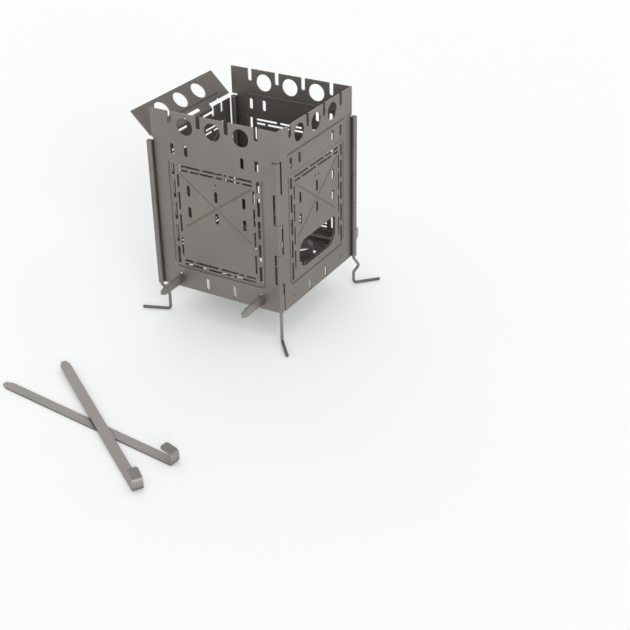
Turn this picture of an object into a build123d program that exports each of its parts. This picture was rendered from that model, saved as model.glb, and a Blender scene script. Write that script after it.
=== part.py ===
"""Folding camp stove: four pressed steel walls, a feed flap, wire legs, a grate and fire sticks.

Millimetres. The origin is on the floor under the middle of the stove, +Z is up, the plain
front wall faces -Y and the wall with the feed opening faces +X.
"""
import os
from math import cos, radians, sin, tan

from build123d import *

os.makedirs("parts", exist_ok=True)

# Driving dimensions
HALF = 50.0  # middle of the stove to the outer face of a wall
WALL_HEIGHT = 132.0
LEG_HEIGHT = 24.0  # floor to the walls' lower edges
SHEET = 0.9
PITCH = 22.0  # spacing of the large holes, also one knuckle's height
WIRE_R = 1.1
RUN_GAP = 0.08  # radial clearance of a wire in its knuckles
END_GAP = 0.15  # each knuckle stops this far short of its own zone
INNER_CLEAR = 4.6  # room beside a neighbour's inward knuckle
OUTER_CLEAR = 0.4  # and beside an outward one

# Hinges, rolled from the sheet around the wire
BORE_R = WIRE_R + RUN_GAP
BARREL_R = BORE_R + SHEET
KNUCKLES = 5
BARREL_TOP = KNUCKLES * PITCH
INNER_AXIS = HALF - BARREL_R  # rolled inwards, flush with the outer faces
OUTER_AXIS = HALF - SHEET + BARREL_R  # rolled outwards, flush with the inner faces
INNER_CUT = HALF - INNER_CLEAR  # sheet stops here beside a neighbour's inward knuckle
OUTER_CUT = HALF - SHEET - OUTER_CLEAR  # and here beside a neighbour's outward knuckle
RELIEF = 1.2  # height of the relief notch above the barrels

# Round holes and open notches along the top
HOLE_R = 6.35
HOLE_DOWN = 9.0
HOLE_Z = WALL_HEIGHT - HOLE_DOWN
HOLE_STEPS = (-1, 0, 1)
NOTCH_X = (11.0, 34.0)
NOTCH_WIDTH = 3.2
NOTCH_DEPTH = 9.0

# Upright slots, all the same width
SLOT_WIDTH = 2.8
UPPER_SLOT_X = (22.4, 33.6)
UPPER_SLOT_Z = 105.5
UPPER_SLOT_LONG = 8.0
MIDDLE_SLOT_X = (-22.4, 0.0, 22.4)
MIDDLE_SLOT_Z = (60.7, 76.6)
MIDDLE_SLOT_LONG = 8.2
INNER_SLOT_X = 11.2
STICK_X = 33.6
STICK_SLOT_Z = 7.2
STICK_SLOT_LONG = 8.6
SIDE_SLOT_Z = 5.1
SIDE_SLOT_LONG = 7.8
SLOT_EASE = 0.8
DOT_R = 0.9
DOT_SIDES = 6
SINGLE_DOT = [(0, 85.4)]  # sight hole above the middle slots
TWIN_DOTS = [(-2, 84.6), (2, 84.6)]

# Rows and columns of dashes around the middle field
OUTER_DASH_X = 34.0
OUTER_DASH_WIDTH = 2.3
OUTER_DASHES = ((19.4, 32.4), (36.0, 49.3), (53.2, 66.3), (69.7, 83.1), (86.9, 95.0))
INNER_DASH_X = 30.4
INNER_DASH_WIDTH = 1.6
INNER_DASHES = ((26.1, 40.1), (44.5, 57.6), (61.5, 74.7), (78.2, 87.8))
ROW_WIDTH = 1.6
WIDE_ROW = ((-29.5, -11.8), (-9.3, 9.3), (11.8, 29.5))
SPLIT_ROW = ((-29.5, -22.0), (-20.0, -1.3), (1.3, 20.0), (22.0, 29.5))
TOP_ROWS = ((94.0, WIDE_ROW), (91.0, SPLIT_ROW))
LOW_ROWS = ((22.3, SPLIT_ROW), (19.4, WIDE_ROW))

# Pressed grooves: sunk into the outer face, standing out of the inner face
PRESS = 0.6
PRESS_TAPER = 35
GROOVE = 2.0
FRAME_HALF = 38.3
FRAME_Z = (15.9, 96.2)
FRAME_CORNER = 4.5
RIB_Z = 112.7
RIB_LONG = 76.0
CREASE = 1.5
CREASE_PRESS = 0.4
CREASE_TOP = (29.0, 88.9)
CREASE_LOW = (27.0, 48.5)

# Feed opening in the right wall, with its lip drawn inwards
MOUTH_HALF = 25.3
MOUTH_Z = (22.6, 43.8)
MOUTH_LOW_R = 10.0
MOUTH_FRONT_R = 9.0
MOUTH_REAR_R = 3.0
LIP_DEPTH = 2.2

# Left wall and the feed flap hinged along its top
LEFT_REAR = 44.5
LEFT_TOP = 109.0
FLAP_AXIS_Z = 107.5
FLAP_TILT = 46.0
FLAP_HALF = 48.2
FLAP_LOW = 3.1
FLAP_TOP = 24.5
FLAP_RIB_Z = 8.2
FLAP_RIB_LONG = 74.0
RECESS_HALF = 24.0
RECESS_Z = 104.2
RECESS_LAP = 1.0  # sheet of the middle knuckle starts this far below the recess
MID_KNUCKLE = 9.7
MID_CLEAR = 1.1  # room that the flap leaves above the middle knuckle
FLAP_KNUCKLE = (10.1, 21.5)
FLAP_RELIEFS = ((23.5, 0.8), (33.4, 1.2))  # round reliefs beside the knuckles: distance, radius
FLAP_PIN_SPARE = 0.4

# Wire legs, which are also the hinge pins
PIN_SHORT = 0.5
PIN_TOP = BARREL_TOP - PIN_SHORT
FOOT_LONG = 21.0
LEG_BEND = 2.6
LEG_STEP = radians(45)
JOG_START = LEG_HEIGHT - 2.0
JOG_END = LEG_HEIGHT - 8.0
JOG_BACK = LEG_HEIGHT - 14.0

# Grate and fire sticks
GRATE_HALF = 46.0
GRATE_CHAMFER = 6.0
GRATE_GAP = 0.05
LEAF_NEAR = 2.0  # leaf slots, four around each centre
LEAF_FAR = 15.0
LEAF_BULGE = 1.9
LEAF_PITCH = 29.0
LEAF_ROWS = 3
LEAVES = 4
LEAF_TURN = 45
STICK_LONG = 152.0
STICK_WIDTH = 6.8
STICK_THICK = 1.2
STICK_Z = 3.1  # lower edge of an inserted stick above the walls' lower edges
STICK_TIP_Y = -75.0
TIP_WIDTH = 3.0
TIP_TAPER = 5.0
HOOK_RISE = 9.0
HOOK_TAB = 9.5
HOOK_BEND = 1.5

# Loose sticks on the floor: the second lies across the first
UNDER_TIP = (-85.6, -182.6)
UNDER_TURN = radians(-6.2)
OVER_TIP = (-65.1, -146.9)
OVER_TURN = radians(-33.5)
OVER_SLOPE = radians(1.3)

FRONT = Plane(origin=(0, -HALF, LEG_HEIGHT), x_dir=(1, 0, 0), z_dir=(0, -1, 0))
RIGHT = Plane(origin=(HALF, 0, LEG_HEIGHT), x_dir=(0, 1, 0), z_dir=(1, 0, 0))
BACK = Plane(origin=(0, HALF, LEG_HEIGHT), x_dir=(-1, 0, 0), z_dir=(0, 1, 0))
LEFT = Plane(origin=(-HALF, 0, LEG_HEIGHT), x_dir=(0, -1, 0), z_dir=(-1, 0, 0))


def block(x_low, x_high, y_low, y_high, mode=Mode.ADD):
    """Rectangle between two corners, in the sketch being built."""
    with Locations(((x_low + x_high) / 2, (y_low + y_high) / 2)):
        Rectangle(x_high - x_low, y_high - y_low, mode=mode)


def tongues(cut, axis, owned):
    """Sheet running from the cut-back edge to the hinge axis at this wall's own knuckles."""
    for level in owned:
        low, high = sorted((cut, axis))
        block(low, high, level * PITCH + END_GAP, (level + 1) * PITCH - END_GAP)


def wall_sheet(plane, left, right, crown, height=WALL_HEIGHT):
    """Outline of a wall. Each side is (cut-back edge, hinge axis, own knuckles)."""
    with BuildSketch(plane) as sheet:
        block(left[0], right[0], 0, height)
        tongues(*left)
        tongues(*right)
        if crown:
            block(crown[0], crown[1], BARREL_TOP + RELIEF, height)
    return sheet.sketch


def eased_slot(width, length):
    """Upright slot with its corners eased, for the sketch being built."""
    with BuildSketch() as slot:
        Rectangle(width, length)
        chamfer(slot.vertices(), SLOT_EASE)
    return slot.sketch


def wall_slots(plane, low_rows=True):
    """Slots and dashes that every wall has in its middle field."""
    with BuildSketch(plane) as cuts:
        with Locations(*[(side * x, UPPER_SLOT_Z) for x in UPPER_SLOT_X for side in (-1, 1)]):
            add(eased_slot(SLOT_WIDTH, UPPER_SLOT_LONG))
        with Locations(*[(x, z) for x in MIDDLE_SLOT_X for z in MIDDLE_SLOT_Z]):
            add(eased_slot(SLOT_WIDTH, MIDDLE_SLOT_LONG))
        for column, width, dashes in (
            (OUTER_DASH_X, OUTER_DASH_WIDTH, OUTER_DASHES),
            (INNER_DASH_X, INNER_DASH_WIDTH, INNER_DASHES),
        ):
            for low, high in dashes:
                for side in (-1, 1):
                    block(side * column - width / 2, side * column + width / 2, low, high)
        rows = TOP_ROWS + LOW_ROWS if low_rows else TOP_ROWS
        for z, row in rows:
            for low, high in row:
                block(low, high, z - ROW_WIDTH / 2, z + ROW_WIDTH / 2)
    return cuts.sketch


def low_slots(plane, stick_slots):
    """Slots near the lower edge: full height ones for the sticks, or shorter ones and dots."""
    with BuildSketch(plane) as cuts:
        if stick_slots:
            places = [(side * x, STICK_SLOT_Z) for x in (INNER_SLOT_X, STICK_X) for side in (-1, 1)]
            with Locations(*places):
                add(eased_slot(SLOT_WIDTH, STICK_SLOT_LONG))
        else:
            with Locations((-INNER_SLOT_X, SIDE_SLOT_Z), (INNER_SLOT_X, SIDE_SLOT_Z)):
                add(eased_slot(SLOT_WIDTH, SIDE_SLOT_LONG))
            with Locations((-STICK_X, STICK_SLOT_Z), (STICK_X, STICK_SLOT_Z)):
                RegularPolygon(DOT_R, DOT_SIDES)
    return cuts.sketch


def crown_cuts(plane):
    """Three large holes and four open notches along the top edge."""
    with BuildSketch(plane) as cuts:
        with Locations(*[(step * PITCH, HOLE_Z) for step in HOLE_STEPS]):
            Circle(HOLE_R)
        with Locations(*[(side * x, WALL_HEIGHT) for x in NOTCH_X for side in (-1, 1)]):
            add(eased_slot(NOTCH_WIDTH, 2 * NOTCH_DEPTH))
    return cuts.sketch


def eye_dots(plane, points):
    """Small sight holes above the middle slots."""
    with BuildSketch(plane) as cuts:
        with Locations(*points):
            RegularPolygon(DOT_R, DOT_SIDES)
    return cuts.sketch


def frame_groove(plane):
    """U-shaped groove around the sides and bottom of the middle field."""
    middle = (FRAME_Z[0] + FRAME_Z[1]) / 2
    tall = FRAME_Z[1] - FRAME_Z[0]
    inner_wide = 2 * (FRAME_HALF - GROOVE)
    inner_tall = 2 * (tall - GROOVE)
    with BuildSketch(plane) as groove:
        with Locations((0, middle + tall / 2)):
            RectangleRounded(2 * FRAME_HALF, 2 * tall, FRAME_CORNER)
            RectangleRounded(inner_wide, inner_tall, FRAME_CORNER - GROOVE, mode=Mode.SUBTRACT)
        block(-HALF, HALF, FRAME_Z[1], FRAME_Z[1] + 2 * tall, mode=Mode.SUBTRACT)
    return groove.sketch


def crease_cross(plane):
    """Two creases crossing in the middle field."""
    with BuildSketch(plane) as cross:
        for side in (-1, 1):
            start = Vector(side * CREASE_TOP[0], CREASE_TOP[1])
            end = Vector(-side * CREASE_LOW[0], CREASE_LOW[1])
            run = (end - start).normalized()
            across = Vector(-run.Y, run.X) * (CREASE / 2)
            corners = (start - across, end - across, end + across, start + across)
            with BuildLine():
                Polyline(*[(point.X, point.Y) for point in corners], close=True)
            make_face()
    return cross.sketch


def rib_groove(plane, z, length):
    """Straight groove."""
    with BuildSketch(plane) as rib:
        with Locations((0, z)):
            Rectangle(length, GROOVE)
    return rib.sketch


def press_in(make_sketch, plane, depth, *sizes):
    """Sink a groove into the outer face and raise the same shape on the inner face."""
    extrude(make_sketch(plane, *sizes), amount=-depth, taper=PRESS_TAPER, mode=Mode.SUBTRACT)
    extrude(make_sketch(plane.offset(-SHEET), *sizes), amount=-depth, taper=PRESS_TAPER)


def tube(length):
    """Knuckle rolled around a wire, in the part being built."""
    Cylinder(BARREL_R, length)
    Cylinder(BORE_R, length, mode=Mode.SUBTRACT)


def barrels(x, y, owned):
    """Rolled knuckles around one upright hinge axis."""
    for level in owned:
        with Locations((x, y, LEG_HEIGHT + (level + 0.5) * PITCH)):
            tube(PITCH - 2 * END_GAP)


def mouth_shape(plane, grow=0.0):
    """Feed opening, rounder at its front corner than at its rear one."""
    with BuildSketch(plane) as mouth:
        block(-MOUTH_HALF, MOUTH_HALF, *MOUTH_Z)
        fillet(mouth.vertices().group_by(Axis.Y)[0], MOUTH_LOW_R)
        fillet(mouth.vertices().group_by(Axis.Y)[-1].sort_by(Axis.X)[0], MOUTH_FRONT_R)
        fillet(mouth.vertices().group_by(Axis.Y)[-1].sort_by(Axis.X)[-1], MOUTH_REAR_R)
        if grow:
            offset(amount=grow)
    return mouth.sketch


def softened(points):
    """Corners of a bent wire, each one swapped for the chords of its bend."""
    corners = [Vector(*point) for point in points]
    run = [corners[0]]
    for before, corner, after in zip(corners, corners[1:], corners[2:]):
        arrive = (corner - before).normalized()
        leave = (after - corner).normalized()
        turn = radians(arrive.get_angle(leave))
        side = (leave - arrive * arrive.dot(leave)).normalized()
        start = corner - arrive * (LEG_BEND * tan(turn / 2))
        steps = max(1, round(turn / LEG_STEP))
        for step in range(steps + 1):
            angle = turn * step / steps
            along = arrive * (LEG_BEND * sin(angle))
            run.append(start + along + side * (LEG_BEND * (1 - cos(angle))))
    run.append(corners[-1])
    return run


def polar(start, length, angle):
    """Point at a distance and an angle from another."""
    return start[0] + length * cos(radians(angle)), start[1] + length * sin(radians(angle))


def leg_wire(axis, foot_angle, jog=0.0, jog_angle=0.0, jog_returns=False):
    """Hinge pin that runs down below the walls, jogs sideways and turns into a foot."""
    aside = polar(axis, jog, jog_angle)
    shaft = [(*axis, LEG_HEIGHT + PIN_TOP)]
    base = axis
    if jog:
        shaft += [(*axis, JOG_START), (*aside, JOG_END)]
        base = axis if jog_returns else aside
    if jog_returns:
        shaft.append((*axis, JOG_BACK))
    shaft += [(*base, WIRE_R), (*polar(base, FOOT_LONG, foot_angle), WIRE_R)]
    with BuildPart() as wire:
        with BuildLine() as path:
            Polyline(*softened(shaft))
        with BuildSketch(Plane(origin=shaft[0], z_dir=(0, 0, -1))):
            Circle(WIRE_R)
        sweep(path=path.wires()[0], transition=Transition.RIGHT)
    return wire.part


def stick_bar():
    """Fire stick lying flat along +X with its tip at the origin and its hook upwards."""
    reach = STICK_LONG - STICK_THICK / 2
    top = HOOK_RISE - STICK_THICK / 2
    low = STICK_THICK / 2
    hook = ((0, low), (reach, low), (reach, top), (STICK_LONG - HOOK_TAB, top))
    with BuildPart() as bar:
        with BuildSketch(Plane.XZ):
            with BuildLine() as bend:
                FilletPolyline(*hook, radius=HOOK_BEND)
            trace(lines=bend.edges(), line_width=STICK_THICK)
        extrude(amount=STICK_WIDTH / 2, both=True)
        with BuildSketch():
            with BuildLine():
                Polyline(
                    (0, -TIP_WIDTH / 2),
                    (TIP_TAPER, -STICK_WIDTH / 2),
                    (STICK_LONG, -STICK_WIDTH / 2),
                    (STICK_LONG, STICK_WIDTH / 2),
                    (TIP_TAPER, STICK_WIDTH / 2),
                    (0, TIP_WIDTH / 2),
                    close=True,
                )
            make_face()
        extrude(amount=HOOK_RISE, mode=Mode.INTERSECT)
    return bar.part


# Front wall: plain, with slots for the two inserted sticks
with BuildPart() as front_panel:
    sheet = wall_sheet(
        FRONT,
        (-OUTER_CUT, -OUTER_AXIS, (1, 3)),
        (INNER_CUT, INNER_AXIS, (0, 2, 4)),
        (-HALF, HALF),
    )
    extrude(sheet, amount=-SHEET)
    barrels(-OUTER_AXIS, -OUTER_AXIS, (1, 3))
    barrels(INNER_AXIS, -INNER_AXIS, (0, 2, 4))
    for cuts in (
        wall_slots(FRONT),
        low_slots(FRONT, True),
        crown_cuts(FRONT),
        eye_dots(FRONT, SINGLE_DOT),
    ):
        extrude(cuts, amount=-SHEET, mode=Mode.SUBTRACT)
    press_in(frame_groove, FRONT, PRESS)
    press_in(crease_cross, FRONT, CREASE_PRESS)

# Right wall: feed opening with a drawn lip, and a rib above the field
with BuildPart() as right_panel:
    sheet = wall_sheet(
        RIGHT,
        (-INNER_CUT, -INNER_AXIS, (1, 3)),
        (OUTER_CUT, OUTER_AXIS, (0, 2, 4)),
        (-OUTER_CUT, OUTER_CUT),
    )
    extrude(sheet, amount=-SHEET)
    barrels(INNER_AXIS, -INNER_AXIS, (1, 3))
    barrels(OUTER_AXIS, OUTER_AXIS, (0, 2, 4))
    for cuts in (
        wall_slots(RIGHT, low_rows=False),
        low_slots(RIGHT, False),
        crown_cuts(RIGHT),
        eye_dots(RIGHT, TWIN_DOTS),
    ):
        extrude(cuts, amount=-SHEET, mode=Mode.SUBTRACT)
    press_in(frame_groove, RIGHT, PRESS)
    press_in(crease_cross, RIGHT, CREASE_PRESS)
    press_in(rib_groove, RIGHT, PRESS, RIB_Z, RIB_LONG)
    extrude(mouth_shape(RIGHT, SHEET), amount=-LIP_DEPTH)
    extrude(mouth_shape(RIGHT), amount=-LIP_DEPTH, mode=Mode.SUBTRACT)

# Back wall: its free edge is rolled into one long tube for the fourth leg
with BuildPart() as back_panel:
    sheet = wall_sheet(
        BACK,
        (-OUTER_CUT, -OUTER_AXIS, (1, 3)),
        (INNER_CUT, INNER_AXIS, ()),
        (-HALF, HALF),
    )
    extrude(sheet, amount=-SHEET)
    with BuildSketch(BACK):
        block(INNER_CUT, INNER_AXIS, END_GAP, BARREL_TOP - END_GAP)
    extrude(amount=-SHEET)
    barrels(OUTER_AXIS, OUTER_AXIS, (1, 3))
    with Locations((-INNER_AXIS, INNER_AXIS, LEG_HEIGHT + BARREL_TOP / 2)):
        tube(BARREL_TOP - 2 * END_GAP)
    for cuts in (
        wall_slots(BACK),
        low_slots(BACK, True),
        crown_cuts(BACK),
        eye_dots(BACK, SINGLE_DOT),
    ):
        extrude(cuts, amount=-SHEET, mode=Mode.SUBTRACT)
    press_in(frame_groove, BACK, PRESS)
    press_in(crease_cross, BACK, CREASE_PRESS)
    press_in(rib_groove, BACK, PRESS, RIB_Z, RIB_LONG)

# Left wall: lower than the others, with the flap's hinge along its top
with BuildPart() as left_panel:
    with BuildSketch(LEFT):
        block(-LEFT_REAR, OUTER_CUT, 0, LEFT_TOP)
        tongues(OUTER_CUT, OUTER_AXIS, (0, 2))
        block(OUTER_CUT, OUTER_AXIS, 4 * PITCH + END_GAP, LEFT_TOP)
        block(-RECESS_HALF, RECESS_HALF, RECESS_Z, LEFT_TOP, mode=Mode.SUBTRACT)
        block(-MID_KNUCKLE, MID_KNUCKLE, RECESS_Z - RECESS_LAP, FLAP_AXIS_Z)
    extrude(amount=-SHEET)
    barrels(-OUTER_AXIS, -OUTER_AXIS, (0, 2))
    top_knuckle = LEFT_TOP - 4 * PITCH - END_GAP
    with Locations((-OUTER_AXIS, -OUTER_AXIS, LEG_HEIGHT + LEFT_TOP - top_knuckle / 2)):
        tube(top_knuckle)
    with Locations(Location((-OUTER_AXIS, 0, LEG_HEIGHT + FLAP_AXIS_Z), (90, 0, 0))):
        tube(2 * MID_KNUCKLE)
    for cuts in (wall_slots(LEFT), low_slots(LEFT, False), eye_dots(LEFT, SINGLE_DOT)):
        extrude(cuts, amount=-SHEET, mode=Mode.SUBTRACT)
    press_in(frame_groove, LEFT, PRESS)
    press_in(crease_cross, LEFT, CREASE_PRESS)

# Feed flap, stored leaning outwards on its own wire
lean = radians(FLAP_TILT)
flap_normal = Vector(-cos(lean), 0, -sin(lean))
flap_axis = Vector(-OUTER_AXIS, 0, LEG_HEIGHT + FLAP_AXIS_Z)
FLAP = Plane(origin=flap_axis - flap_normal * BORE_R, x_dir=(0, -1, 0), z_dir=flap_normal)
with BuildPart() as feed_flap:
    with BuildSketch(FLAP):
        block(-FLAP_HALF, FLAP_HALF, FLAP_LOW, FLAP_TOP)
        for side in (-1, 1):
            near, far = sorted((side * FLAP_KNUCKLE[0], side * FLAP_KNUCKLE[1]))
            block(near, far, 0, FLAP_LOW)
            for distance, radius in FLAP_RELIEFS:
                with Locations((side * distance, FLAP_LOW)):
                    Circle(radius, mode=Mode.SUBTRACT)
        block(-MID_KNUCKLE, MID_KNUCKLE, FLAP_LOW, FLAP_LOW + MID_CLEAR, mode=Mode.SUBTRACT)
        with Locations(*[(step * PITCH, HOLE_Z - FLAP_AXIS_Z) for step in HOLE_STEPS]):
            Circle(HOLE_R, mode=Mode.SUBTRACT)
    extrude(amount=-SHEET)
    knuckle_long = FLAP_KNUCKLE[1] - FLAP_KNUCKLE[0]
    for side in (-1, 1):
        middle = side * (FLAP_KNUCKLE[0] + FLAP_KNUCKLE[1]) / 2
        with Locations(Location((flap_axis.X, middle, flap_axis.Z), (90, 0, 0))):
            tube(knuckle_long)
    press_in(rib_groove, FLAP, PRESS, FLAP_RIB_Z, FLAP_RIB_LONG)

with BuildPart() as flap_hinge_pin:
    with Locations(Location(tuple(flap_axis), (90, 0, 0))):
        Cylinder(WIRE_R, 2 * FLAP_KNUCKLE[1] + FLAP_PIN_SPARE)

# Legs
with BuildPart() as front_right_leg:
    add(leg_wire((INNER_AXIS, -INNER_AXIS), foot_angle=-49))

with BuildPart() as front_left_leg:
    add(leg_wire((-OUTER_AXIS, -OUTER_AXIS), foot_angle=200, jog=5.0, jog_angle=45))

with BuildPart() as back_right_leg:
    add(leg_wire((OUTER_AXIS, OUTER_AXIS), foot_angle=46, jog=4.0, jog_angle=30, jog_returns=True))

with BuildPart() as back_left_leg:
    add(leg_wire((-INNER_AXIS, INNER_AXIS), foot_angle=135, jog=4.0, jog_angle=135, jog_returns=True))

# Grate: square plate with a leaf pattern, resting on the inserted sticks
grate_z = LEG_HEIGHT + STICK_Z + STICK_WIDTH + GRATE_GAP
with BuildPart() as fire_grate:
    with BuildSketch(Plane.XY.offset(grate_z)) as grate:
        Rectangle(2 * GRATE_HALF, 2 * GRATE_HALF)
        chamfer(grate.vertices(), GRATE_CHAMFER)
    extrude(amount=SHEET)
    with BuildSketch() as leaf:
        with BuildLine():
            SagittaArc((LEAF_NEAR, 0), (LEAF_FAR, 0), LEAF_BULGE)
            SagittaArc((LEAF_FAR, 0), (LEAF_NEAR, 0), LEAF_BULGE)
        make_face()
    with BuildSketch(Plane.XY.offset(grate_z)):
        with GridLocations(LEAF_PITCH, LEAF_PITCH, LEAF_ROWS, LEAF_ROWS):
            with PolarLocations(0, LEAVES, start_angle=LEAF_TURN):
                add(leaf.sketch)
    extrude(amount=SHEET, mode=Mode.SUBTRACT)

# Inserted sticks: on edge through the lower slots of the front and back walls
bar = stick_bar()
stick_mid_z = LEG_HEIGHT + STICK_Z + STICK_WIDTH / 2
with BuildPart() as fire_stick_left:
    tip = (-STICK_X - STICK_THICK / 2, STICK_TIP_Y, stick_mid_z)
    seat = Plane(origin=tip, x_dir=(0, 1, 0), z_dir=(1, 0, 0))
    add(bar.moved(seat.location))

with BuildPart() as fire_stick_right:
    tip = (STICK_X - STICK_THICK / 2, STICK_TIP_Y, stick_mid_z)
    seat = Plane(origin=tip, x_dir=(0, 1, 0), z_dir=(1, 0, 0))
    add(bar.moved(seat.location))

# Loose sticks on the floor
with BuildPart() as spare_stick_under:
    seat = Plane(origin=(*UNDER_TIP, 0), x_dir=(cos(UNDER_TURN), sin(UNDER_TURN), 0), z_dir=(0, 0, 1))
    add(bar.moved(seat.location))

with BuildPart() as spare_stick_over:
    seat = Plane(
        origin=(*OVER_TIP, STICK_LONG * sin(OVER_SLOPE)),
        x_dir=(cos(OVER_TURN) * cos(OVER_SLOPE), sin(OVER_TURN) * cos(OVER_SLOPE), -sin(OVER_SLOPE)),
        z_dir=(cos(OVER_TURN) * sin(OVER_SLOPE), sin(OVER_TURN) * sin(OVER_SLOPE), cos(OVER_SLOPE)),
    )
    add(bar.moved(seat.location))

front_panel.part.label = "front_panel"
right_panel.part.label = "right_panel"
back_panel.part.label = "back_panel"
left_panel.part.label = "left_panel"
feed_flap.part.label = "feed_flap"
flap_hinge_pin.part.label = "flap_hinge_pin"
front_right_leg.part.label = "front_right_leg"
front_left_leg.part.label = "front_left_leg"
back_right_leg.part.label = "back_right_leg"
back_left_leg.part.label = "back_left_leg"
fire_grate.part.label = "fire_grate"
fire_stick_left.part.label = "fire_stick_left"
fire_stick_right.part.label = "fire_stick_right"
spare_stick_under.part.label = "spare_stick_under"
spare_stick_over.part.label = "spare_stick_over"

export_step(front_panel.part, "parts/front_panel.step")
export_step(right_panel.part, "parts/right_panel.step")
export_step(back_panel.part, "parts/back_panel.step")
export_step(left_panel.part, "parts/left_panel.step")
export_step(feed_flap.part, "parts/feed_flap.step")
export_step(flap_hinge_pin.part, "parts/flap_hinge_pin.step")
export_step(front_right_leg.part, "parts/front_right_leg.step")
export_step(front_left_leg.part, "parts/front_left_leg.step")
export_step(back_right_leg.part, "parts/back_right_leg.step")
export_step(back_left_leg.part, "parts/back_left_leg.step")
export_step(fire_grate.part, "parts/fire_grate.step")
export_step(fire_stick_left.part, "parts/fire_stick_left.step")
export_step(fire_stick_right.part, "parts/fire_stick_right.step")
export_step(spare_stick_under.part, "parts/spare_stick_under.step")
export_step(spare_stick_over.part, "parts/spare_stick_over.step")
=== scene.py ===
"""Looks of the folding camp stove: steel, smooth wires and sticks, floor, light and camera. Metres."""
from math import cos, radians, sin, tan

import bmesh
import bpy
from mathutils import Matrix, Vector


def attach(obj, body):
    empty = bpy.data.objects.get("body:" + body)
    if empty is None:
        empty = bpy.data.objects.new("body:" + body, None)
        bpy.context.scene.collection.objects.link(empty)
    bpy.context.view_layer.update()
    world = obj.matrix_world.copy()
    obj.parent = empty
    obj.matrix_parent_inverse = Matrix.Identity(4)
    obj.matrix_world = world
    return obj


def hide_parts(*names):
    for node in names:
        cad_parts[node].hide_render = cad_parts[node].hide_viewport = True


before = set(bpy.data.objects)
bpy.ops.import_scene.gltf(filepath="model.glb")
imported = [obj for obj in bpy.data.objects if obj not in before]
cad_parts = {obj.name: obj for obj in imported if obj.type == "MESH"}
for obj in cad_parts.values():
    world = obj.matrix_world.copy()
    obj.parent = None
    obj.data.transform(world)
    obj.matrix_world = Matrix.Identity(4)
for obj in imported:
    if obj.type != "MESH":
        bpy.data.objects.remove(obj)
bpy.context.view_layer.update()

# Camera, worked out from the holes and slots of the walls
FRAME_PIXELS = 630
FOCAL_PIXELS = 1196.5
CAMERA_TURN = radians(30.35)  # from straight in front, round to the right
CAMERA_RISE = radians(29.95)
CAMERA_ROLL = radians(-0.89)
CAMERA_BACK = 0.8931  # along the view, from the ground under the stove
CAMERA_ASIDE = -0.04058  # that point lies this far right of the view's middle
CAMERA_UP = 0.01371  # and this far above it
SENSOR_WIDTH = 36
CLIP_START = 0.01

# Floor and light
FLOOR_SIZE = 6.0
BACKDROP = (0.965, 0.982, 0.982)
FLOOR_GREY = 0.8
FLOOR_ROUGHNESS = 0.9
FLOOR_LIFT = (0.334, 0.35, 0.35)  # what the camera sees of the floor above its own lit grey
FLOOR_PAINTED_SHADOW_DISTANCE = 0.06
FLOOR_PAINTED_SHADOW_REACH = (0.2, 0.9)
FLOOR_PAINTED_SHADOW_LEFT = (0.3, 1.0)  # painted contact shadow: share of the lift that is left, from the closed floor to the open
SKY = ((0.0, 1.35), (0.5, 0.55), (1.0, 0.45))  # height of the direction, brightness
RAMP_SHARE = 0.5  # a ramp holds no brightness above 1, so it holds this share
SUNS = (  # name, where it comes from, power, spread
    ("sun", (0.7, -0.6, 0.4), 1.2, radians(30)),
    ("rim_sun", (-0.5, 0.75, 0.45), 0.5, radians(60)),
)

# Wire legs: the same run as in the CAD, with round bends
WIRE = 0.0011
PIN_TOP = 0.1335
FOOT_LONG = 0.021
BEND = 0.0026
BEND_STEPS = 8
JOG_HEIGHTS = (0.022, 0.016, 0.010)  # its start, its end and the end of its return
INNER_AXIS = 0.04792
OUTER_AXIS = 0.05118
END_EASE = 0.0003  # the cut ends narrow over this length
END_RADIUS = 0.72  # to this share of the wire
WIRE_RESOLUTION = 5
LEGS = (  # name, axis, foot's angle, jog, jog's angle, jog returns
    ("front_right_leg", (INNER_AXIS, -INNER_AXIS), -49, 0.0, 0, False),
    ("front_left_leg", (-OUTER_AXIS, -OUTER_AXIS), 200, 0.005, 45, False),
    ("back_right_leg", (OUTER_AXIS, OUTER_AXIS), 46, 0.004, 30, True),
    ("back_left_leg", (-INNER_AXIS, INNER_AXIS), 135, 0.004, 135, True),
)

# Fire sticks: the CAD's strips, with the hook's round bends and its slightly open tab
STICK_LONG = 0.152
STICK_WIDTH = 0.0068
STICK_THICK = 0.0012
TIP_WIDTH = 0.003
TIP_LONG = 0.005
ROUND_STEPS = 5
HOOK_RISE = 0.009
HOOK_TAB = 0.0098
HOOK_OPEN = radians(11)
HOOK_BEND = 0.0022
HOOK_ROUND = 0.0017  # rounding of the tab's corners
STICK_EDGE = 0.00018
EDGE_STEPS = 2
EDGE_ANGLE = radians(40)
SHARP_ANGLE = radians(35)
STICK_X = 0.0336
STICK_MIDDLE = 0.0305  # height of an inserted stick's middle
STICK_TIP_Y = -0.075
UNDER_TIP = (-0.0856, -0.1826)
UNDER_TURN = radians(-6.2)
OVER_TIP = (-0.0651, -0.1469)
OVER_TURN = radians(-33.5)
OVER_SLOPE = radians(1.3)

# Edges: the painted highlight along the rim of a cut, and the rounding of its corner
BEVEL_SAMPLES = 6
HIGHLIGHT_RIM_RADIUS = 0.0003
HIGHLIGHT_RIM_REACH = (0.97, 0.8)  # agreement of the softened and the face's own normal
SOFT_RADIUS = 0.00012
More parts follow.
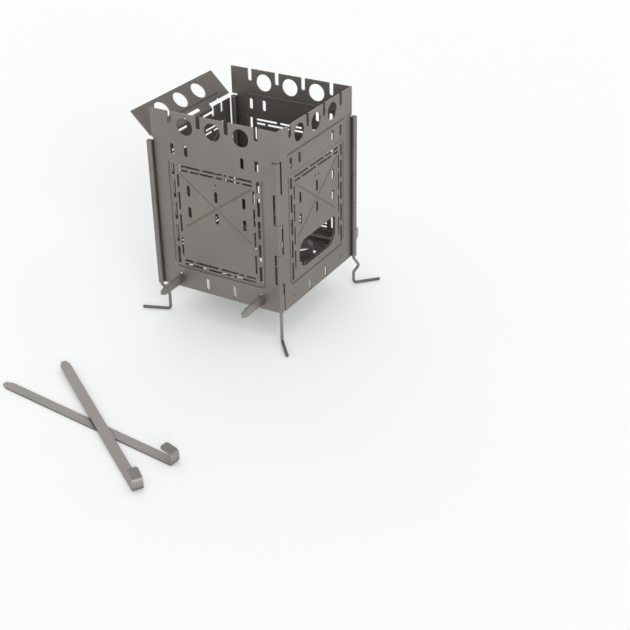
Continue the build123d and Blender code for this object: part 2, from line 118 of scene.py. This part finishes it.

# Clouds and grain of the steel, and the shade painted into its hollows
CLOUD_SCALE = 22
CLOUD_DETAIL = 4
CLOUD_STOPS = (0.32, 0.5, 0.68)  # where the three tones stand
GRAIN_SCALE = 900
GRAIN_DETAIL = 2
GRAIN_REACH = (0.3, 0.7)
GRAIN_TINT = (0.97, 1.03)
GRAIN_ROUGHNESS = 0.06
GRAIN_STRENGTH = 0.05
GRAIN_DEPTH = 0.00005
PAINTED_SHADE_SAMPLES = 8
PAINTED_SHADE_DISTANCE = 0.006
PAINTED_SHADE_REACH = (0.4, 0.98)
PAINTED_SHADE_TINT = (0.4, 1.0)  # painted shade: share of the tint that is left, from the closed hollow to the open
METALLIC = 0.85
WIRE_METALLIC = 0.95

# Finishes: three tones, the painted highlight tone of the cut edges, roughness and the grain's stretch
WALL_STEEL = (
    ((0.219, 0.204, 0.186), (0.238, 0.217, 0.2), (0.26, 0.232, 0.213)),
    (0.42, 0.4, 0.38),
    0.5,
    (1, 1, 0.08),
)
WIRE_STEEL = (
    ((0.2, 0.195, 0.185), (0.24, 0.23, 0.22), (0.29, 0.28, 0.27)),
    (0.4, 0.39, 0.38),
    0.32,
    (1, 1, 0.2),
)
GRATE_STEEL = (
    ((0.2, 0.19, 0.175), (0.23, 0.215, 0.2), (0.26, 0.24, 0.225)),
    (0.5, 0.48, 0.46),
    0.45,
    (1, 0.08, 1),
)
# The bars' tones stand above the walls': partly the bars' own tone, partly painted light so that their
# upward faces read as lit from above
STICK_STEEL = (
    ((0.32, 0.303, 0.285), (0.35, 0.325, 0.308), (0.38, 0.347, 0.332)),
    (0.45, 0.43, 0.41),
    0.5,
    (0.08, 1, 1),
)

# Closed top of the pressed frame on the right wall
GROOVE_Z = 0.1212
GROOVE_HALF = 0.0011
GROOVE_END = 0.0372
GROOVE_FADE = 0.0005
GROOVE_STRENGTH = 0.9
GROOVE_DEPTH = 0.0006


def camera():
    """Camera at the photograph's place."""
    back = Vector((
        sin(CAMERA_TURN) * cos(CAMERA_RISE),
        -cos(CAMERA_TURN) * cos(CAMERA_RISE),
        sin(CAMERA_RISE),
    ))
    level = (-back).cross(Vector((0, 0, 1))).normalized()
    upright = level.cross(-back)
    right = level * cos(CAMERA_ROLL) + upright * sin(CAMERA_ROLL)
    up = upright * cos(CAMERA_ROLL) - level * sin(CAMERA_ROLL)
    place = back * CAMERA_BACK - right * CAMERA_ASIDE - up * CAMERA_UP
    data = bpy.data.cameras.new("camera")
    data.sensor_width = SENSOR_WIDTH
    data.lens = FOCAL_PIXELS / FRAME_PIXELS * data.sensor_width
    data.clip_start = CLIP_START
    eye = bpy.data.objects.new("camera", data)
    eye.matrix_world = Matrix.Translation(place) @ Matrix((right, up, back)).transposed().to_4x4()
    bpy.context.scene.collection.objects.link(eye)
    bpy.context.scene.camera = eye


def material(name):
    """New node material: (material, its nodes, its links, its main shader)."""
    made = bpy.data.materials.new(name)
    made.use_nodes = True
    tree = made.node_tree
    return made, tree.nodes, tree.links, tree.nodes["Principled BSDF"]


def noise(nodes, links, scale, detail, stretch=(1, 1, 1)):
    """Noise in the object's own space, drawn out along the axes by stretch."""
    place = nodes.new("ShaderNodeTexCoord")
    mapping = nodes.new("ShaderNodeMapping")
    mapping.inputs["Scale"].default_value = stretch
    links.new(place.outputs["Object"], mapping.inputs["Vector"])
    made = nodes.new("ShaderNodeTexNoise")
    made.inputs["Scale"].default_value = scale
    made.inputs["Detail"].default_value = detail
    links.new(mapping.outputs["Vector"], made.inputs["Vector"])
    return made.outputs["Fac"]


def ramp(nodes, links, source, stops):
    """Colour ramp over a value."""
    made = nodes.new("ShaderNodeValToRGB")
    while len(made.color_ramp.elements) < len(stops):
        made.color_ramp.elements.new(0.5)
    for element, (place, colour) in zip(made.color_ramp.elements, stops):
        element.position = place
        element.color = (*colour, 1)
    links.new(source, made.inputs["Fac"])
    return made.outputs["Color"]


def fit(nodes, links, source, reach, result):
    """Value fitted from one reach to another, held at the ends."""
    made = nodes.new("ShaderNodeMapRange")
    made.inputs["From Min"].default_value = reach[0]
    made.inputs["From Max"].default_value = reach[1]
    made.inputs["To Min"].default_value = result[0]
    made.inputs["To Max"].default_value = result[1]
    links.new(source, made.inputs["Value"])
    return made.outputs["Result"]


def mixed(nodes, links, factor, first, second, blend="MIX"):
    """Mix of two colours. The factor is a socket or a number, and the second a socket or a colour."""
    made = nodes.new("ShaderNodeMix")
    made.data_type = "RGBA"
    made.blend_type = blend
    share, under, over = (made.inputs[place] for place in (0, 6, 7))  # the colour mix's own sockets
    links.new(first, under)
    if isinstance(factor, float):
        share.default_value = factor
    else:
        links.new(factor, share)
    if isinstance(second, tuple):
        over.default_value = (*second, 1)
    else:
        links.new(second, over)
    return made.outputs[2]


def maths(nodes, links, operation, *terms):
    """Arithmetic on values. A term is a socket or a number."""
    made = nodes.new("ShaderNodeMath")
    made.operation = operation
    for socket, term in zip(made.inputs, terms):
        if isinstance(term, (int, float)):
            socket.default_value = term
        else:
            links.new(term, socket)
    return made.outputs[0]


def bevel(nodes, radius):
    """Normal softened along the edges over a radius."""
    made = nodes.new("ShaderNodeBevel")
    made.samples = BEVEL_SAMPLES
    made.inputs["Radius"].default_value = radius
    return made


def edge_highlight_mask(nodes, links, soft):
    """Mask of the painted edge highlight: one along the cut edges, where the softened normal leaves the
    face's own.
    """
    geometry = nodes.new("ShaderNodeNewGeometry")
    product = nodes.new("ShaderNodeVectorMath")
    product.operation = "DOT_PRODUCT"
    links.new(soft.outputs["Normal"], product.inputs[0])
    links.new(geometry.outputs["Normal"], product.inputs[1])
    return fit(nodes, links, product.outputs["Value"], HIGHLIGHT_RIM_REACH, (0.0, 1.0))


def openness(nodes, distance):
    """How open the surroundings of a point are, from 0 to 1."""
    made = nodes.new("ShaderNodeAmbientOcclusion")
    made.samples = PAINTED_SHADE_SAMPLES
    made.inputs["Distance"].default_value = distance
    return made.outputs["AO"]


def relief(nodes, links, height, normal, strength, depth):
    """Normal bent by a height."""
    made = nodes.new("ShaderNodeBump")
    made.inputs["Strength"].default_value = strength
    made.inputs["Distance"].default_value = depth
    links.new(height, made.inputs["Height"])
    links.new(normal, made.inputs["Normal"])
    return made.outputs["Normal"]


def steel(name, finish, metallic=METALLIC, line=False):
    """Matte stainless steel: cloudy tint, rolled grain, painted highlights along the cut edges and
    painted shade in the hollows.
    """
    tones, edge_highlight, roughness, grain_stretch = finish
    made, nodes, links, shader = material(name)
    clouds = noise(nodes, links, CLOUD_SCALE, CLOUD_DETAIL)
    tint = ramp(nodes, links, clouds, tuple(zip(CLOUD_STOPS, tones)))
    grain = noise(nodes, links, GRAIN_SCALE, GRAIN_DETAIL, grain_stretch)
    streak = fit(nodes, links, grain, GRAIN_REACH, GRAIN_TINT)
    tint = mixed(nodes, links, 1.0, tint, streak, "MULTIPLY")
    # painted shade: the tint darkens where ambient occlusion finds the surface closed in, in hollows
    # and between parts
    shade = fit(nodes, links, openness(nodes, PAINTED_SHADE_DISTANCE), PAINTED_SHADE_REACH, PAINTED_SHADE_TINT)
    tint = mixed(nodes, links, 1.0, tint, shade, "MULTIPLY")
    highlight_mask = edge_highlight_mask(nodes, links, bevel(nodes, HIGHLIGHT_RIM_RADIUS))
    soft = bevel(nodes, SOFT_RADIUS)
    # painted highlight: the base colour turns to the lighter edge tone along the cut edges
    links.new(mixed(nodes, links, highlight_mask, tint, edge_highlight), shader.inputs["Base Color"])
    span = (roughness - GRAIN_ROUGHNESS, roughness + GRAIN_ROUGHNESS)
    links.new(fit(nodes, links, grain, (0, 1), span), shader.inputs["Roughness"])
    normal = relief(nodes, links, grain, soft.outputs["Normal"], GRAIN_STRENGTH, GRAIN_DEPTH)
    if line:
        normal = pressed_line(nodes, links, normal)
    links.new(normal, shader.inputs["Normal"])
    shader.inputs["Metallic"].default_value = metallic
    return made


def pressed_line(nodes, links, normal):
    """Level groove that closes the top of the pressed frame, as relief."""
    place = nodes.new("ShaderNodeTexCoord")
    apart = nodes.new("ShaderNodeSeparateXYZ")
    links.new(place.outputs["Object"], apart.inputs[0])
    above = maths(nodes, links, "SUBTRACT", apart.outputs["Z"], GROOVE_Z)
    away = maths(nodes, links, "ABSOLUTE", above)
    aside = maths(nodes, links, "ABSOLUTE", apart.outputs["Y"])
    sunk = fit(nodes, links, away, (0.0, GROOVE_HALF), (0.0, 1.0))
    beyond = fit(nodes, links, aside, (GROOVE_END, GROOVE_END + GROOVE_FADE), (0.0, 1.0))
    height = maths(nodes, links, "MAXIMUM", sunk, beyond)
    return relief(nodes, links, height, normal, GROOVE_STRENGTH, GROOVE_DEPTH)


def floor_material():
    """Pale floor, seen as the white studio by the camera and in reflections, with its cast shadows and
    a painted contact shadow that dims the lift where the floor is closed in.
    """
    made, nodes, links, shader = material("studio_floor")
    shader.inputs["Base Color"].default_value = (FLOOR_GREY, FLOOR_GREY, FLOOR_GREY, 1)
    shader.inputs["Roughness"].default_value = FLOOR_ROUGHNESS
    shader.inputs["Specular IOR Level"].default_value = 0.0
    rays = nodes.new("ShaderNodeLightPath").outputs
    seen = maths(nodes, links, "MAXIMUM", rays["Is Camera Ray"], rays["Is Glossy Ray"])
    seen = maths(nodes, links, "MAXIMUM", seen, rays["Is Transmission Ray"])
    # painted contact shadow: the lift fades where ambient occlusion finds the floor closed in under the
    # stove
    open_sky = openness(nodes, FLOOR_PAINTED_SHADOW_DISTANCE)
    shade = fit(nodes, links, open_sky, FLOOR_PAINTED_SHADOW_REACH, FLOOR_PAINTED_SHADOW_LEFT)
    seen = maths(nodes, links, "MULTIPLY", seen, shade)
    shader.inputs["Emission Color"].default_value = (*FLOOR_LIFT, 1)
    links.new(seen, shader.inputs["Emission Strength"])
    return made


def dress(names, look):
    """Give one look to CAD nodes."""
    for name in names:
        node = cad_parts[name]
        node.data.materials.clear()
        node.data.materials.append(look)


def bent(corners, radius=BEND):
    """Corners of a run, each one swapped for the arc of its bend."""
    corners = [Vector(corner) for corner in corners]
    run = [corners[0]]
    for before, corner, after in zip(corners, corners[1:], corners[2:]):
        arrive = (corner - before).normalized()
        leave = (after - corner).normalized()
        turn = arrive.angle(leave)
        side = (leave - arrive * arrive.dot(leave)).normalized()
        start = corner - arrive * (radius * tan(turn / 2))
        for step in range(BEND_STEPS + 1):
            angle = turn * step / BEND_STEPS
            run.append(start + arrive * (radius * sin(angle)) + side * (radius * (1 - cos(angle))))
    run.append(corners[-1])
    return run


def stand_in(made, body, node):
    """Put a made piece into the scene on its body, in place of one CAD node."""
    bpy.context.scene.collection.objects.link(made)
    bpy.context.view_layer.update()
    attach(made, body)
    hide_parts(node)


def wire(name, body, corners, look):
    """Smooth wire along a bent run, in place of the CAD leg of that body."""
    run = bent(corners)
    first = (run[1] - run[0]).normalized() * END_EASE
    last = (run[-2] - run[-1]).normalized() * END_EASE
    run = [run[0], run[0] + first, *run[1:-1], run[-1] + last, run[-1]]
    data = bpy.data.curves.new(name, "CURVE")
    data.dimensions = "3D"
    data.bevel_depth = WIRE
    data.bevel_resolution = WIRE_RESOLUTION
    data.use_fill_caps = True
    spline = data.splines.new("POLY")
    spline.points.add(len(run) - 1)
    for place, point in enumerate(run):
        spline.points[place].co = (*point, 1)
        spline.points[place].radius = END_RADIUS if place in (0, len(run) - 1) else 1.0
    data.materials.append(look)
    stand_in(bpy.data.objects.new(name, data), body, body)


def polar(start, length, degrees):
    """Point at a distance and an angle from another."""
    angle = radians(degrees)
    return start[0] + length * cos(angle), start[1] + length * sin(angle)


def leg(name, axis, foot_angle, jog, jog_angle, jog_returns, look):
    """Pin, jog and foot of one leg."""
    aside = polar(axis, jog, jog_angle)
    corners = [(*axis, PIN_TOP)]
    base = axis
    if jog:
        corners += [(*axis, JOG_HEIGHTS[0]), (*aside, JOG_HEIGHTS[1])]
        base = axis if jog_returns else aside
    if jog_returns:
        corners.append((*axis, JOG_HEIGHTS[2]))
    corners += [(*base, WIRE), (*polar(base, FOOT_LONG, foot_angle), WIRE)]
    wire(name + "_wire", name, corners, look)


def strip_profile():
    """Middle line of a stick from tip to tab, with the half width at each point."""
    low = STICK_THICK / 2
    end = STICK_LONG - low
    top = HOOK_RISE - low
    tab = (STICK_LONG - HOOK_TAB * cos(HOOK_OPEN), 0, top + HOOK_TAB * sin(HOOK_OPEN))
    run = bent([(TIP_LONG, 0, low), (end, 0, low), (end, 0, top), tab], HOOK_BEND)
    half = STICK_WIDTH / 2
    profile = [(Vector((0, 0, low)), TIP_WIDTH / 2)]
    profile += [(point, half) for point in run[:-1]]
    back = (run[-1] - run[-2]).normalized()
    for step in range(ROUND_STEPS + 1):
        angle = radians(90) * step / ROUND_STEPS
        point = run[-1] - back * (HOOK_ROUND * (1 - sin(angle)))
        profile.append((point, half - HOOK_ROUND * (1 - cos(angle))))
    return profile


def strip_mesh(name, place):
    """Mesh of a stick at a place, which is (origin, along, upwards)."""
    profile = strip_profile()
    shape = bmesh.new()
    rings = []
    for step, (point, half) in enumerate(profile):
        ahead = profile[min(step + 1, len(profile) - 1)][0]
        behind = profile[max(step - 1, 0)][0]
        along = (ahead - behind).normalized()
        out = Vector((-along.z, 0, along.x)) * (STICK_THICK / 2)
        aside = Vector((0, half, 0))
        below, above = point - out, point + out
        corners = (below - aside, below + aside, above + aside, above - aside)
        rings.append([shape.verts.new(corner) for corner in corners])
    for ring, after in zip(rings, rings[1:]):
        for side in range(len(ring)):
            beside = (side + 1) % len(ring)
            shape.faces.new((ring[side], ring[beside], after[beside], after[side]))
    shape.faces.new(rings[0])
    shape.faces.new(rings[-1])
    bmesh.ops.recalc_face_normals(shape, faces=shape.faces)
    data = bpy.data.meshes.new(name)
    shape.to_mesh(data)
    shape.free()
    origin, along, upwards = (Vector(part) for part in place)
    turned = Matrix((along, upwards.cross(along), upwards)).transposed().to_4x4()
    data.transform(Matrix.Translation(origin) @ turned)
    data.shade_smooth()
    data.set_sharp_from_angle(angle=SHARP_ANGLE)
    return data


def stick(name, body, place, look):
    """Smooth strip with eased edges, in place of one CAD stick."""
    data = strip_mesh(name, place)
    data.materials.append(look)
    made = bpy.data.objects.new(name, data)
    eased = made.modifiers.new("eased_edges", "BEVEL")
    eased.width = STICK_EDGE
    eased.segments = EDGE_STEPS
    eased.limit_method = "ANGLE"
    eased.angle_limit = EDGE_ANGLE
    stand_in(made, body, name.removesuffix("_strip"))


def laid(tip, turn, slope=0.0):
    """Place of a loose stick, from its tip's place in plan, its turn and its slope down to the hook."""
    return (
        (*tip, STICK_LONG * sin(slope)),
        (cos(turn) * cos(slope), sin(turn) * cos(slope), -sin(slope)),
        (cos(turn) * sin(slope), sin(turn) * sin(slope), cos(slope)),
    )


def sticks(look):
    """The two inserted sticks and the two loose ones."""
    for side, word in ((-1, "left"), (1, "right")):
        origin = (side * STICK_X - STICK_THICK / 2, STICK_TIP_Y, STICK_MIDDLE)
        stick(f"fire_stick_{word}_strip", f"stick_{word}", (origin, (0, 1, 0), (1, 0, 0)), look)
    stick("spare_stick_under_strip", "spare_under", laid(UNDER_TIP, UNDER_TURN), look)
    stick("spare_stick_over_strip", "spare_over", laid(OVER_TIP, OVER_TURN, OVER_SLOPE), look)


def studio():
    """Floor, world and suns."""
    bpy.ops.mesh.primitive_plane_add(size=FLOOR_SIZE)
    floor = bpy.context.object
    floor.name = "floor"
    floor.data.materials.append(floor_material())
    world = bpy.data.worlds.new("studio")
    world.use_nodes = True
    nodes, links = world.node_tree.nodes, world.node_tree.links
    place = nodes.new("ShaderNodeTexCoord")
    apart = nodes.new("ShaderNodeSeparateXYZ")
    links.new(place.outputs["Generated"], apart.inputs[0])
    stops = [(height, (level * RAMP_SHARE,) * 3) for height, level in SKY]
    sky = ramp(nodes, links, apart.outputs["Z"], stops)
    seen = nodes.new("ShaderNodeLightPath").outputs["Is Camera Ray"]
    backdrop = tuple(value * RAMP_SHARE for value in BACKDROP)
    background = nodes["Background"]
    links.new(mixed(nodes, links, seen, sky, backdrop), background.inputs["Color"])
    background.inputs["Strength"].default_value = 1 / RAMP_SHARE
    bpy.context.scene.world = world
    for name, source, power, spread in SUNS:
        data = bpy.data.lights.new(name, "SUN")
        data.energy = power
        data.angle = spread
        sun = bpy.data.objects.new(name, data)
        sun.rotation_euler = Vector(source).to_track_quat("Z", "Y").to_euler()
        bpy.context.scene.collection.objects.link(sun)


bpy.context.scene.view_settings.view_transform = "Standard"
wall_look = steel("wall_steel", WALL_STEEL)
lined_look = steel("right_wall_steel", WALL_STEEL, line=True)
wire_look = steel("wire_steel", WIRE_STEEL, WIRE_METALLIC)
grate_look = steel("grate_steel", GRATE_STEEL)
stick_look = steel("bar_steel", STICK_STEEL)
dress(("front_panel", "back_panel", "left_panel", "feed_flap"), wall_look)
dress(("right_panel",), lined_look)
dress(("flap_hinge_pin",), wire_look)
dress(("fire_grate",), grate_look)
sticks(stick_look)
for bent_leg in LEGS:
    leg(*bent_leg, wire_look)
studio()
camera()
